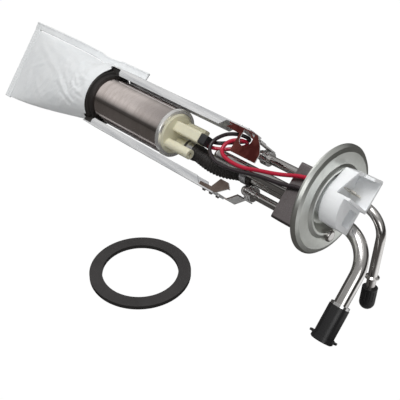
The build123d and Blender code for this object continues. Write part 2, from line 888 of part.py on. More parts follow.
def upper_bracket():
    """Bracket in the end of the upper arm: notched plate in front, foot on the return pipe collar."""
    gauge = bracket_gauge
    plate_z = arm_half_width - gauge
    top = upper_web_y
    foot_y = return_y + return_radius + collar_wall
    piece = block(upper_bracket_back, upper_foot_start, top - gauge, top, -arm_half_width, plate_z)
    profile = [
        (upper_foot_start, top - gauge), (upper_foot_start, top), (upper_foot_start + 1.2, top),
        (upper_foot_flat, foot_y + gauge), (upper_foot_front, foot_y + gauge), (upper_foot_front, foot_y),
        (upper_foot_flat - 0.8, foot_y), (upper_foot_start + 0.6, top - gauge),
    ]
    piece += sheet_xy(profile, return_z - foot_depth / 2, arm_half_width - 4)
    piece += block(upper_bracket_back + 6, upper_foot_start, top - gauge, top,
                   return_z - foot_depth / 2, -arm_half_width)
    plate = [
        (upper_bracket_back, top - 4.2), (upper_bracket_back + 6.5, top), (plate_left + 9.5, top),
        (plate_right - plate_slope_run, top - 0.9), (plate_right - plate_corner_run, plate_shoulder_y),
        (plate_right, plate_shoulder_y - plate_corner_drop),
        (plate_right, plate_low_y), (plate_left, plate_low_y), (plate_left, top - 5.1),
    ]
    front = sheet_xy(plate, plate_z, arm_half_width)
    half = notch_width / 2
    notch_x = notch_left + half
    front -= Pos(notch_x, notch_low_y + half, plate_z) * Cylinder(half, 6)
    front -= block(notch_left, notch_left + notch_width, notch_low_y + half, top - gauge, plate_z - 2,
                   arm_half_width + 2)
    return piece + front


def lower_bracket():
    """Bracket in the end of the lower arm: short tab in front, foot under the rod collar."""
    gauge = bracket_gauge
    plate_z = arm_half_width - gauge
    low = lower_web_y
    foot_y = rod_y - rod_radius - collar_wall
    piece = block(lower_bracket_back, lower_foot_start, low, low + gauge, -plate_z, plate_z)
    profile = [
        (lower_foot_start, low), (lower_foot_start, low + gauge), (lower_foot_start + 0.6, low + gauge),
        (lower_foot_flat - 0.6, foot_y), (lower_foot_front, foot_y), (lower_foot_front, foot_y - gauge),
        (lower_foot_flat, foot_y - gauge), (lower_foot_start + 1.2, low),
    ]
    piece += sheet_xy(profile, rod_z - foot_depth / 2, -plate_z)
    piece += block(lower_bracket_back + 6, lower_foot_start, low, low + gauge,
                   rod_z - foot_depth / 2, -plate_z)
    tab_start = lower_lip_front + 0.5
    tab = [
        (tab_start, low), (tab_start, low + 2.5), (tab_back - 4, low + 3.0),
        (tab_back, tab_top_y), (tab_front - 4, tab_top_y), (tab_front, tab_top_y - 4),
        (tab_front - 2.0, low + 6.5), (lower_foot_start, low),
    ]
    return piece + sheet_xy(tab, plate_z, arm_half_width)


def bracket_rivets():
    """Button rivets through each arm and its bracket."""
    rivets = []
    for side, (first, count) in ((1, upper_rivets), (-1, lower_rivets)):
        web = pump_y + side * arm_reach
        inner = web - side * (arm_gauge + bracket_gauge)
        for i in range(count):
            x = first + i * rivet_pitch
            plane = Plane(origin=(x, inner, 0), z_dir=(0, side, 0))
            shank = extrude(plane * Circle(rivet_radius * 0.6), arm_gauge + bracket_gauge)
            cap_plane = Plane(origin=(x, web, 0), z_dir=(0, side, 0))
            button = extrude(cap_plane * Circle(rivet_radius), rivet_height, taper=22)
            rivets.append(shank + button)
    return Compound(children=rivets)


def rivet_hole(x, side):
    plane = Plane(origin=(x, pump_y + side * (arm_reach - 5), 0), z_dir=(0, side, 0))
    return extrude(plane * Circle(rivet_radius * 0.6), 8)


def fuel_hose():
    nipple_end = face + nipple_length
    tube_end = supply_inner_end - 2
    points = [
        (nipple_end - hose_cover, nipple_y, nipple_z),
        (nipple_end, nipple_y, nipple_z),
        (nipple_end + hose_rear_run, nipple_y - hose_rear_drop, nipple_z - hose_rear_side),
        (tube_end - hose_front_run, supply_y - hose_front_drop, supply_z + hose_front_side),
        (tube_end, supply_y, supply_z),
        (supply_inner_end + hose_cover, supply_y, supply_z),
    ]
    straight_in = Line(points[0], points[1])
    middle = Spline(*points[1:5], tangents=((1, 0, 0), (1, 0, 0)))
    straight_out = Line(points[4], points[5])
    return pipe(Wire([straight_in, middle, straight_out]), supply_radius + hose_wall, supply_radius)


def hose_clamps():
    """Two band clamps, each with its folded ear."""
    rings = []
    ends = (
        (face + nipple_length - hose_cover + 3, nipple_y, nipple_z),
        (supply_inner_end + hose_cover - 9, supply_y, supply_z),
    )
    inner = supply_radius + hose_wall
    for x, y, z in ends:
        band = bar(x, x + clamp_width, Pos(y, z) * (Circle(inner + clamp_gauge) - Circle(inner)))
        ear = block(x + 0.8, x + clamp_width - 0.8, y - 1.6, y + 1.6, z - inner - 3.4, z - inner)
        ear -= rod(x - 1, x + clamp_width + 1, inner, y, z)
        rings.append(band + ear)
    return Compound(children=rings)


red_wire_points = [
    (tower_front + plug_length, -5.2, 0.2), (-107.6, -5.2, 0.2), (-99, -0.5, -7.5), (-90, 5, -7.5),
    (-83.5, 10.2, -3.6), (-86, 10.6, 3.0), (-93, 6.4, 5.2), (-94, -0.4, 7), (-89, -6, 9), (-80, -9, 10.2),
    (-68, -9, 11.2), (-57, -6.2, 12.1), (-37, -1.6, 12),
]
black_wire_points = [
    (tower_front + plug_length, -1.0, 0.2), (-107.6, -1.0, 0.2), (-96, 8, -8), (-86.5, 12.6, -4.6),
    (-90, 12.4, 0.5), (-103, 7.8, 2), (-109.3, -0.5, 3.4), (-106.5, -8, 5), (-96, -13.4, 8),
    (-86, -14.2, 9), (-72, -12.8, 10), (-50, -8.2, 11.4), (-33, -7, 11.6),
]


def wire(points, flange_y):
    """A wire from the pump plug, round its loop and straight into the connector neck."""
    neck = -recess_depth - flange_sheet
    entry = (neck - grommet_length - 1, flange_y, wire_front_z)
    end = (neck + wire_cover, flange_y, wire_front_z)
    return pipe(FilletPolyline(*points, entry, end, radius=wire_bend), wire_radius, sides=wire_sides)


def wire_grommets():
    neck = -recess_depth - flange_sheet
    rings = [
        bar(neck - grommet_length, neck, Pos(y, wire_front_z) * (Circle(grommet_radius) - Circle(wire_radius)))
        for y in (red_wire_y, black_wire_y)
    ]
    return Compound(children=rings)


def strainer_sock():
    """Felt bag: round mouth on the boot, flat welded seam at the far end, one free strip."""
    sections = []
    stations = (
        (sock_mouth_x, sock_mouth_y, 0.0, sock_mouth_half_y, sock_mouth_half_z, 0.0),
        (-290.0, -7.0, -4.0, 33.0, 17.0, 0.3),
        (-340.0, -9.5, -11.0, 37.0, 9.0, 0.7),
        (sock_end_x, sock_end_y, sock_end_z, sock_end_half, seam_thickness / 2, 1.0),
    )
    for x, y, z, half_y, half_z, turn in stations:
        plane = Plane(origin=(x, y, z), x_dir=(0, 1, 0), z_dir=(1, 0, 0))
        sections.append(plane * Rot(0, 0, seam_roll * turn) * Ellipse(half_y, half_z))
    bag = loft(sections)
    seam_plane = Plane(origin=(sock_end_x, sock_end_y, sock_end_z), x_dir=(0, 1, 0), z_dir=(1, 0, 0))
    seam = Pos(*seam_plane.origin) * Rot(seam_roll, 0, 0) * Pos(-seam_width / 2 + 0.5, 0, 0) * Box(
        seam_width + 1, 2 * sock_end_half + 2.5, seam_thickness
    )
    bag += seam
    strip = block(sock_mouth_x - 6, flap_end_x, flap_low_y, flap_low_y + flap_width,
                  -flap_thickness / 2, flap_thickness / 2)
    bag += strip
    neck_y, neck_z = pump_y, -inlet_offset
    neck_back = case_back - boot_lip_width - 0.2 - neck_length
    bag -= rod(neck_back, sock_mouth_x + 5, neck_radius, neck_y, neck_z)
    return bag


def sock_neck():
    front = case_back - boot_lip_width - 0.2
    back = front - neck_length
    ring = Pos(pump_y, -inlet_offset) * (Circle(neck_radius) - Circle(inlet_radius))
    return bar(back, front, ring)


def gasket():
    ring = Circle(gasket_outer) - Circle(gasket_inner)
    piece = extrude(Pos(gasket_x, gasket_y) * ring, gasket_thickness)
    return piece


upper_rivets = (upper_bracket_back + upper_rivet_inset, upper_rivet_count)
lower_rivets = (lower_bracket_back + lower_rivet_inset, lower_rivet_count)


def with_rivet_holes(piece, side, first, count):
    for i in range(count):
        piece = piece - rivet_hole(first + i * rivet_pitch, side)
    return piece


module = {
    "flange_plate": flange_plate(),
    "support_channel": support_channel(),
    "connector_housing": connector_housing(),
    "connector_terminals": connector_terminals(),
    "connector_seal": connector_seal(),
    "wire_grommets": wire_grommets(),
    "supply_tube": supply_tube(),
    "return_tube": return_tube(),
    "centre_post": centre_post(),
    "support_rod": support_rod(),
    "rod_collars": rod_collars(),
    "supply_ferrule": supply_ferrule(),
    "supply_cap": supply_cap(),
    "return_cap": return_cap(),
    "upper_arm": with_rivet_holes(arm(1, upper_lip_front, upper_arm_front), 1, *upper_rivets),
    "lower_arm": with_rivet_holes(arm(-1, lower_lip_front, lower_arm_front), -1, *lower_rivets),
    "upper_bracket": with_rivet_holes(upper_bracket(), 1, *upper_rivets),
    "lower_bracket": with_rivet_holes(lower_bracket(), -1, *lower_rivets),
    "bracket_rivets": bracket_rivets(),
    "pump_casing": casing(),
    "end_cap": end_cap(),
    "pump_magnets": pump_magnets(),
    "front_bush": bush(disc_back, disc_back + bush_length),
    "rear_bush": bush(chamber_back, chamber_front),
    "brushes": brushes(),
    "brush_springs": brush_springs(),
    "pump_terminals": pump_terminals(),
    "chamber_plate": chamber_plate(),
    "inlet_cover": inlet_cover(),
    "motor_shaft": motor_shaft(),
    "armature": armature(),
    "armature_windings": armature_windings(),
    "commutator": commutator(),
    "impeller": impeller(),
    "check_valve": check_valve(),
    "check_valve_spring": check_valve_spring(),
    "valve_stop": valve_stop(),
    "pump_plug": pump_plug(),
    "fuel_hose": fuel_hose(),
    "hose_clamps": hose_clamps(),
    "isolator_boot": isolator_boot(),
    "strainer_sock": strainer_sock(),
    "sock_neck": sock_neck(),
    "red_wire": wire(red_wire_points, red_wire_y),
    "black_wire": wire(black_wire_points, black_wire_y),
}

# Laying down: the plane that touches the supply cap, the return cap and the sock's lower corner
cap_end = on_line(supply_corner, supply_axis,
                  ferrule_place + ferrule_width + cap_fit + supply_cap_length - 0.6)
dome_centre = on_line(return_corner, return_axis, return_cap_start + return_cap_length - return_cap_radius)
corner = Vector(sock_end_x - seam_width, sock_end_y, sock_end_z)
seam_turn = math.radians(seam_roll)
half_seam = sock_end_half + 1.25
across = Vector(0, math.cos(seam_turn), math.sin(seam_turn))
through = Vector(0, -math.sin(seam_turn), math.cos(seam_turn))
sock_corner = corner - across * half_seam
up = Vector(0.1, 0.74, 0.66).normalized()
for _ in range(40):
    low_sock = sock_corner - through * (seam_thickness / 2)
    radial = (up - supply_axis * up.dot(supply_axis)).normalized()
    low_supply = cap_end - radial * cap_collar_radius
    low_return = dome_centre - up * return_cap_radius
    normal = (low_supply - low_sock).cross(low_return - low_sock).normalized()
    up = normal if normal.dot(up) > 0 else -normal
floor_x = (Vector(1, 0, 0) - up * up.X).normalized()
down_origin = Vector(0, 0, 0) + up * low_return.dot(up)
lay = Plane(origin=down_origin, x_dir=floor_x, z_dir=up)
laid = {name: lay.location.inverse() * piece for name, piece in module.items()}
laid["gasket"] = gasket()

# Origin at the middle of the footprint, on the ground
boxes = [piece.bounding_box() for piece in laid.values()]
low = [min(getattr(box.min, axis) for box in boxes) for axis in "XYZ"]
high = [max(getattr(box.max, axis) for box in boxes) for axis in "XYZ"]
centre = Pos(-(low[0] + high[0]) / 2, -(low[1] + high[1]) / 2, -low[2])

os.makedirs("parts", exist_ok=True)
for name, piece in laid.items():
    export_step(centre * piece, f"parts/{name}.step")
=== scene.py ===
import bpy
import math
from mathutils import Matrix, Vector, noise


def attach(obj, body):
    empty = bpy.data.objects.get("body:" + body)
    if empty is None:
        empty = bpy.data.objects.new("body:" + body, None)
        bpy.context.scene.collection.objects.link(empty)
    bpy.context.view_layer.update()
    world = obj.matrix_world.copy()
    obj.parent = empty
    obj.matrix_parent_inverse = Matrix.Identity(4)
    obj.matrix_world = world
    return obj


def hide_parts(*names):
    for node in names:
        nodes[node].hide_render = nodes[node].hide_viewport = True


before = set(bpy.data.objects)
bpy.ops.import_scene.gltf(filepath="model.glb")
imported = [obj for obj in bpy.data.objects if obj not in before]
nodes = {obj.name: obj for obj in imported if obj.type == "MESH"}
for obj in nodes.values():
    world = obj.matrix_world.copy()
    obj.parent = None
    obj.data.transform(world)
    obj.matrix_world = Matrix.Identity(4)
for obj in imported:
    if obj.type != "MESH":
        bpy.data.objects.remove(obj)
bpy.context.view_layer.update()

# How the module lies on the ground: its own axes and its flange centre, in the row frame
MODULE_X = Vector((0.998050, 0.0, 0.062427))
MODULE_Y = Vector((-0.043561, 0.716304, 0.696427))
MODULE_Z = Vector((-0.044717, -0.697788, 0.714907))
FLANGE_CENTRE = Vector((167.5338, 42.65, 73.4955))
MM = 0.001


def at(x, y, z):
    """A point given in the module's own millimetres, in the row frame in metres."""
    return (FLANGE_CENTRE + MODULE_X * x + MODULE_Y * y + MODULE_Z * z) * MM


# Camera at the photograph's viewpoint
CAMERA_PLACE = Vector((0.389991, -0.291496, 0.369081))
CAMERA_RIGHT = Vector((0.685089, 0.728282, 0.01607))
CAMERA_UP = Vector((-0.449133, 0.404922, 0.796441))
CAMERA_BACK = Vector((0.573526, -0.55285, 0.604503))
camera_data = bpy.data.cameras.new("photo_camera")
camera_data.lens = 67.5
camera_data.sensor_width = 36.0
camera_data.clip_start = 0.01
camera_data.clip_end = 20.0
camera = bpy.data.objects.new("photo_camera", camera_data)
camera.matrix_world = Matrix.Translation(CAMERA_PLACE) @ Matrix(
    (CAMERA_RIGHT, CAMERA_UP, CAMERA_BACK)
).transposed().to_4x4()
bpy.context.scene.collection.objects.link(camera)
bpy.context.scene.camera = camera


# Shader groups shared by the finishes
def new_group(name, inputs, outputs):
    """A shader group with named sockets: the group, its entry and its exit."""
    group = bpy.data.node_groups.new(name, "ShaderNodeTree")
    for label, kind, value in inputs:
        socket = group.interface.new_socket(label, in_out="INPUT", socket_type=kind)
        if value is not None:
            socket.default_value = value
    for label, kind in outputs:
        group.interface.new_socket(label, in_out="OUTPUT", socket_type=kind)
    entry = group.nodes.new("NodeGroupInput")
    leave = group.nodes.new("NodeGroupOutput")
    return group, entry, leave


def math_node(tree, operation, *values):
    """One step of arithmetic, in a shader tree or a geometry tree."""
    node = tree.nodes.new("ShaderNodeMath")
    node.operation = operation
    for socket, value in zip(node.inputs, values):
        if isinstance(value, (int, float)):
            socket.default_value = value
        else:
            tree.links.new(value, socket)
    return node.outputs[0]


def range_node(tree, value, source, target=(0.0, 1.0), smooth=False):
    """A value moved from one range to another, held at both ends."""
    node = tree.nodes.new("ShaderNodeMapRange")
    if smooth:
        node.interpolation_type = "SMOOTHSTEP"
    labels = ("From Min", "From Max", "To Min", "To Max")
    for label, amount in zip(labels, (*source, *target)):
        node.inputs[label].default_value = amount
    tree.links.new(value, node.inputs["Value"])
    return node.outputs["Result"]


def noise_node(tree, vector, scale, detail=4.0, roughness=0.55):
    """Soft noise from 0 to 1, at a scale that is a number or a socket."""
    node = tree.nodes.new("ShaderNodeTexNoise")
    tree.links.new(vector, node.inputs["Vector"])
    if isinstance(scale, (int, float)):
        node.inputs["Scale"].default_value = scale
    else:
        tree.links.new(scale, node.inputs["Scale"])
    node.inputs["Detail"].default_value = detail
    node.inputs["Roughness"].default_value = roughness
    return node.outputs["Fac"]


def stretched(tree, vector, amounts):
    """A place scaled along each axis, which draws a pattern out along the axes with small amounts."""
    node = tree.nodes.new("ShaderNodeVectorMath")
    node.operation = "MULTIPLY"
    tree.links.new(vector, node.inputs[0])
    if isinstance(amounts, tuple):
        node.inputs[1].default_value = amounts
    else:
        tree.links.new(amounts, node.inputs[1])
    return node.outputs[0]


def mottle_group():
    """Slow patches and fine specks, as one mask from 0 to 1."""
    group, entry, leave = new_group(
        "mottle",
        (("Vector", "NodeSocketVector", None), ("Patch scale", "NodeSocketFloat", 40.0),
         ("Speck scale", "NodeSocketFloat", 900.0)),
        (("Mask", "NodeSocketFloat"),),
    )
    patches = noise_node(group, entry.outputs["Vector"], entry.outputs["Patch scale"], 5.0)
    specks = noise_node(group, entry.outputs["Vector"], entry.outputs["Speck scale"], 2.0)
    slow = math_node(group, "MULTIPLY", patches, 0.75)
    both = math_node(group, "ADD", slow, math_node(group, "MULTIPLY", specks, 0.25))
    group.links.new(range_node(group, both, (0.38, 0.62)), leave.inputs["Mask"])
    return group


def draw_line_group():
    """Fine lines left by drawing or brushing, drawn out along the axes where Stretch is small."""
    group, entry, leave = new_group(
        "draw lines",
        (("Vector", "NodeSocketVector", None), ("Stretch", "NodeSocketVector", (1.0, 1.0, 1.0)),
         ("Scale", "NodeSocketFloat", 900.0)),
        (("Height", "NodeSocketFloat"),),
    )
    pulled = stretched(group, entry.outputs["Vector"], entry.outputs["Stretch"])
    lines = noise_node(group, pulled, entry.outputs["Scale"], 3.0, 0.7)
    group.links.new(lines, leave.inputs["Height"])
    return group


def felt_group():
    """Crossed threads on the piece's own UV map, with loose fibres between them."""
    group, entry, leave = new_group(
        "filter cloth",
        (("Vector", "NodeSocketVector", None), ("Threads", "NodeSocketFloat", 220.0)),
        (("Height", "NodeSocketFloat"),),
    )
    split = group.nodes.new("ShaderNodeSeparateXYZ")
    group.links.new(entry.outputs["Vector"], split.inputs[0])
    waves = []
    for axis in ("X", "Y"):
        turned = math_node(group, "MULTIPLY", split.outputs[axis], entry.outputs["Threads"])
        waves.append(math_node(group, "SINE", turned))
    weave = math_node(group, "MULTIPLY", waves[0], waves[1])
    fibres = noise_node(group, entry.outputs["Vector"], 60.0, 6.0, 0.7)
    lift = math_node(group, "ADD", math_node(group, "MULTIPLY", weave, 0.25), fibres)
    group.links.new(lift, leave.inputs["Height"])
    return group


MOTTLE = mottle_group()
DRAW_LINES = draw_line_group()
FILTER_CLOTH = felt_group()


def place_group(tree, group, vector, **values):
    """A group placed in a material, with its own values."""
    node = tree.nodes.new("ShaderNodeGroup")
    node.node_tree = group
    tree.links.new(vector, node.inputs["Vector"])
    for label, value in values.items():
        node.inputs[label.replace("_", " ")].default_value = value
    return node


def bump_node(tree, height, strength, distance):
    """The normal that a height gives, at a depth in metres."""
    node = tree.nodes.new("ShaderNodeBump")
    node.inputs["Strength"].default_value = strength
    node.inputs["Distance"].default_value = distance
    tree.links.new(height, node.inputs["Height"])
    return node.outputs["Normal"]


def finish(name, colour, shade, rough, rough_worn, metallic=0.0, patch=40.0, speck=900.0,
           stretch=None, line_scale=900.0, bump=0.1, bump_depth=0.0001, uv=False, grain=None,
           **shader_values):
    """A finish with two mixed colours, a roughness that varies with them and a fine relief.

    patch and speck are the scales of the mix, and grain draws it out along the axes with small
    amounts. stretch makes the relief drawn lines, uv makes it filter cloth, and without either it is
    plain fine noise.
    """
    material = bpy.data.materials.new(name)
    material.use_nodes = True
    tree = material.node_tree
    shader = tree.nodes["Principled BSDF"]
    coordinates = tree.nodes.new("ShaderNodeTexCoord")
    vector = coordinates.outputs["Object"]
    streaked = stretched(tree, vector, grain) if grain else vector
    mask = place_group(tree, MOTTLE, streaked, Patch_scale=patch, Speck_scale=speck).outputs["Mask"]
    mix = tree.nodes.new("ShaderNodeMix")
    mix.data_type = "RGBA"
    mix.inputs["A"].default_value = (*colour, 1.0)
    mix.inputs["B"].default_value = (*shade, 1.0)
    tree.links.new(mask, mix.inputs["Factor"])
    tree.links.new(mix.outputs["Result"], shader.inputs["Base Color"])
    vary = range_node(tree, mask, (0.0, 1.0), (rough, rough_worn))
    tree.links.new(vary, shader.inputs["Roughness"])
    if uv:
        height = place_group(tree, FILTER_CLOTH, coordinates.outputs["UV"]).outputs["Height"]
    elif stretch:
        lines = place_group(tree, DRAW_LINES, vector, Stretch=stretch, Scale=line_scale)
        height = lines.outputs["Height"]
    else:
        height = noise_node(tree, vector, line_scale, 3.0)
    tree.links.new(bump_node(tree, height, bump, bump_depth), shader.inputs["Normal"])
    shader.inputs["Metallic"].default_value = metallic
    for label, value in shader_values.items():
        shader.inputs[label.replace("_", " ")].default_value = value
    return material


# Finishes, with colours as the photograph shows them
ALONG = (0.06, 1.0, 1.0)
AROUND = (1.0, 0.08, 0.08)
zinc_plate = finish(
    "zinc plate", (0.82, 0.84, 0.80), (0.73, 0.75, 0.71), 0.34, 0.40, 1.0, patch=22, speck=300.0,
    line_scale=300.0, bump=0.02,
)
# Support channel: its dark colour is a painted dark reflection, in place of what its tilted face reflects
painted_dark_reflection_plate = finish(
    "plate with painted dark reflection", (0.31, 0.28, 0.285), (0.17, 0.15, 0.15), 0.26, 0.40, 1.0, patch=70, bump=0.1,
)
pipe_steel = finish(
    "pipe steel", (0.78, 0.765, 0.75), (0.62, 0.60, 0.585), 0.10, 0.2, 1.0, stretch=ALONG,
    bump=0.05,
)
arm_steel = finish(
    "arm steel", (0.90, 0.905, 0.91), (0.60, 0.61, 0.63), 0.24, 0.30, 0.30, patch=280, speck=600.0,
    stretch=ALONG, line_scale=300.0, bump=0.02, grain=(0.02, 1.0, 1.0),
)
collar_steel = finish(
    "collar steel", (0.90, 0.90, 0.895), (0.80, 0.80, 0.80), 0.10, 0.2, 1.0, stretch=ALONG,
    bump=0.1,
)
bracket_steel = finish(
    "bracket steel", (0.90, 0.90, 0.89), (0.78, 0.77, 0.76), 0.18, 0.28, 0.30, patch=60,
    speck=200.0, line_scale=300.0, bump=0.04,
)
# Upper bracket's tab: its dark red-brown is a painted reflection of the red wire, on the faces turned along
# the module's z
painted_red_reflection_tab = finish(
    "tab with painted red reflection", (0.36, 0.11, 0.095), (0.13, 0.03, 0.027), 0.12, 0.24, 1.0, patch=55, speck=200.0,
    line_scale=300.0, bump=0.04,
)
# Lower bracket's tab: its dark brown is a painted dark reflection, on the faces turned along the module's z
painted_dark_reflection_foot = finish(
    "foot with painted dark reflection", (0.42, 0.34, 0.30), (0.20, 0.15, 0.13), 0.14, 0.26, 1.0, patch=55, speck=200.0,
    line_scale=300.0, bump=0.04,
)
case_steel = finish(
    "case steel", (0.80, 0.725, 0.70), (0.68, 0.61, 0.58), 0.07, 0.16, 1.0, patch=50, speck=400.0,
    stretch=AROUND, line_scale=1400.0, bump=0.03, grain=(1.0, 0.3, 0.3),
)
# Casing's rolled edge: a whiter, less metallic finish that is a painted highlight of the edge's bright
# reflection
painted_highlight_edge_steel = finish(
    "rolled edge with painted highlight", (0.92, 0.915, 0.90), (0.84, 0.83, 0.815), 0.20, 0.30, 0.70, patch=60,
    speck=200.0, line_scale=300.0, bump=0.03,
)
spring_steel = finish("spring steel", (0.60, 0.60, 0.62), (0.48, 0.48, 0.50), 0.25, 0.35, 1.0)
core_iron = finish("core iron", (0.34, 0.33, 0.33), (0.24, 0.23, 0.23), 0.45, 0.6, 1.0)
ferrite = finish("ferrite", (0.10, 0.10, 0.11), (0.07, 0.07, 0.08), 0.55, 0.7)
copper = finish("copper wire", (0.78, 0.40, 0.20), (0.62, 0.30, 0.14), 0.28, 0.4, 1.0)
tinned_brass = finish("tinned brass", (0.80, 0.77, 0.70), (0.68, 0.64, 0.56), 0.22, 0.32, 1.0)
bronze = finish("bearing bronze", (0.66, 0.46, 0.26), (0.50, 0.34, 0.18), 0.35, 0.5, 1.0)
carbon = finish("brush carbon", (0.06, 0.06, 0.06), (0.04, 0.04, 0.04), 0.5, 0.65)
cast_aluminium = finish(
    "cast aluminium", (0.72, 0.72, 0.72), (0.60, 0.60, 0.61), 0.35, 0.5, 1.0, bump=0.25,
)
white_nylon = finish(
    "white nylon", (0.95, 0.968, 0.985), (0.93, 0.95, 0.97), 0.30, 0.40, patch=25, bump=0.03,
    Subsurface_Weight=0.2, Subsurface_Scale=0.003, Subsurface_Radius=(1.0, 1.0, 1.0),
)
cream_nylon = finish(
    "cream nylon", (0.80, 0.77, 0.60), (0.71, 0.68, 0.51), 0.32, 0.44, patch=60, bump=0.08,
    Subsurface_Weight=0.2, Subsurface_Scale=0.003, Subsurface_Radius=(1.0, 0.9, 0.7),
)
black_plastic = finish(
    "black plastic", (0.030, 0.030, 0.032), (0.022, 0.022, 0.024), 0.36, 0.5, bump=0.15,
)
black_sleeve = finish(
    "black wire sleeve", (0.035, 0.026, 0.030), (0.022, 0.018, 0.020), 0.25, 0.36, bump=0.05,
)
red_sleeve = finish(
    "red wire sleeve", (0.52, 0.012, 0.045), (0.44, 0.008, 0.032), 0.26, 0.36, bump=0.05,
)
boot_rubber = finish(
    "boot rubber", (0.030, 0.026, 0.024), (0.020, 0.018, 0.017), 0.42, 0.6, bump=0.2,
)
cap_rubber = finish(
    "cap rubber", (0.020, 0.019, 0.020), (0.012, 0.012, 0.013), 0.20, 0.34, bump=0.1,
)
gasket_rubber = finish(
    "gasket rubber", (0.031, 0.028, 0.028), (0.021, 0.019, 0.019), 0.5, 0.68, patch=60, bump=0.35,
    line_scale=1500.0,
)
filter_felt = finish(
    "filter felt", (0.89, 0.91, 0.92), (0.84, 0.865, 0.88), 0.80, 0.92, patch=22, speck=500.0,
    bump=0.35, bump_depth=0.0002, uv=True, Sheen_Weight=0.1, Subsurface_Weight=0.3,
    Subsurface_Scale=0.003, Subsurface_Radius=(1.0, 1.0, 1.0), Specular_IOR_Level=0.25,
)

NODE_FINISH = {
    "flange_plate": zinc_plate, "support_channel": painted_dark_reflection_plate, "connector_housing": white_nylon,
    "connector_terminals": tinned_brass, "connector_seal": boot_rubber, "wire_grommets": black_plastic,
    "supply_tube": pipe_steel, "return_tube": pipe_steel, "centre_post": pipe_steel,
    "support_rod": pipe_steel, "rod_collars": collar_steel, "supply_ferrule": collar_steel,
    "upper_arm": arm_steel, "lower_arm": arm_steel, "upper_bracket": bracket_steel,
    "lower_bracket": bracket_steel, "bracket_rivets": collar_steel, "pump_casing": case_steel,
    "end_cap": cream_nylon, "pump_magnets": ferrite, "front_bush": bronze, "rear_bush": bronze,
    "brushes": carbon, "brush_springs": spring_steel, "pump_terminals": tinned_brass,
    "chamber_plate": cast_aluminium, "inlet_cover": cast_aluminium, "motor_shaft": spring_steel,
    "armature": core_iron, "armature_windings": copper, "commutator": copper, "impeller": black_plastic,
    "check_valve": cream_nylon, "check_valve_spring": spring_steel, "valve_stop": tinned_brass,
    "pump_plug": black_plastic, "fuel_hose": boot_rubber, "hose_clamps": spring_steel,
    "isolator_boot": boot_rubber, "strainer_sock": filter_felt, "sock_neck": black_plastic,
    "red_wire": red_sleeve, "black_wire": black_sleeve, "supply_cap": cap_rubber,
    "return_cap": cap_rubber, "gasket": gasket_rubber,
}
for node_name, material in NODE_FINISH.items():
    mesh = nodes[node_name].data
    mesh.materials.clear()
    mesh.materials.append(material)


# Where the casing's rolled edge starts, in the module's own millimetres
ROLLED_EDGE_BACK = -151.0

# How squarely the faces of a bracket's tab look along the module's z, which picks the faces that get a
# painted reflection
TAB_FACING = 0.9


def on_tab(polygon):
    """True on the tab that a bracket bends out of its strap, whose faces get a painted reflection."""
    return abs(polygon.normal.dot(MODULE_Z)) > TAB_FACING


def on_rolled_edge(polygon):
    """True on the casing's front edge, which is rolled in over the end cap and gets a painted highlight."""
    return (polygon.center / MM - FLANGE_CENTRE).dot(MODULE_X) > ROLLED_EDGE_BACK


def finish_where(node_name, material, chosen):
    """Gives the chosen faces of a piece a finish of their own."""
    mesh = nodes[node_name].data
    mesh.materials.append(material)
    for polygon in mesh.polygons:
        if chosen(polygon):
            polygon.material_index = 1


# Painted reflections on the brackets' tabs, and a painted highlight on the casing's rolled edge
finish_where("upper_bracket", painted_red_reflection_tab, on_tab)
finish_where("lower_bracket", painted_dark_reflection_foot, on_tab)
finish_where("pump_casing", painted_highlight_edge_steel, on_rolled_edge)


# Pump wires: cords from the pump's plug, round a loop and into the flange's connector
WIRE_RADIUS = 1.45
RED_ROUTE = (
    (-112.0, -5.2, 0.2), (-107.6, -5.2, 0.2), (-100.6, -1.2, -5.0), (-94.0, 4.4, -8.4), (-88.7, 7.4, -8.2),
    (-85.2, 9.6, -4.3), (-85.2, 9.8, 1.1), (-88.7, 7.8, 5.0), (-93.0, 4.6, 6.0), (-95.2, 0.2, 6.8),
    (-94.0, -4.6, 7.8), (-88.6, -7.6, 9.2), (-80, -9, 10.2), (-68, -9, 11.2), (-57, -6.2, 12.1),
    (-37, -1.6, 12), (-18.4, 6.0, 10.6), (1.6, 6.0, 10.6),
)
BLACK_ROUTE = (
    (-112.0, -1.0, 0.2), (-107.6, -1.0, 0.2), (-101.6, 4.4, -5.4), (-95.4, 9.2, -9.3), (-90.0, 11.7, -9.2),
    (-86.5, 13.3, -5.7), (-86.5, 13.3, -0.3), (-90.0, 12.3, 3.2), (-95.6, 10.4, 4.4), (-103.5, 7.2, 2.6),
    (-109.4, -0.5, 3.4), (-106.8, -8, 5), (-96, -13.4, 8), (-86, -14.2, 9), (-72, -12.8, 10),
    (-50, -8.2, 11.4), (-33, -7, 11.6), (-18.4, -2.6, 10.6), (1.6, -2.6, 10.6),
)


def line_object(name, route, order, steps):
    """An open smooth line with the route, in the module's millimetres, as its control points."""
    curve = bpy.data.curves.new(name, "CURVE")
    curve.dimensions = "3D"
    spline = curve.splines.new("NURBS")
    spline.points.add(len(route) - 1)
    for point, place in zip(spline.points, route):
        point.co = (*at(*place), 1.0)
    spline.order_u = order
    spline.use_endpoint_u = True
    spline.resolution_u = steps
    line = bpy.data.objects.new(name, curve)
    bpy.context.scene.collection.objects.link(line)
    return line


def wire(name, node, route, sleeve):
    """A round insulated wire along its route."""
    piece = line_object(name, route, order=3, steps=16)
    curve = piece.data
    curve.bevel_depth = WIRE_RADIUS * MM
    curve.bevel_resolution = 6
    curve.use_fill_caps = True
    curve.materials.append(sleeve)
    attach(piece, "module")
    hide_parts(node)


wire("red_lead", "red_wire", RED_ROUTE, red_sleeve)
wire("black_lead", "black_wire", BLACK_ROUTE, black_sleeve)


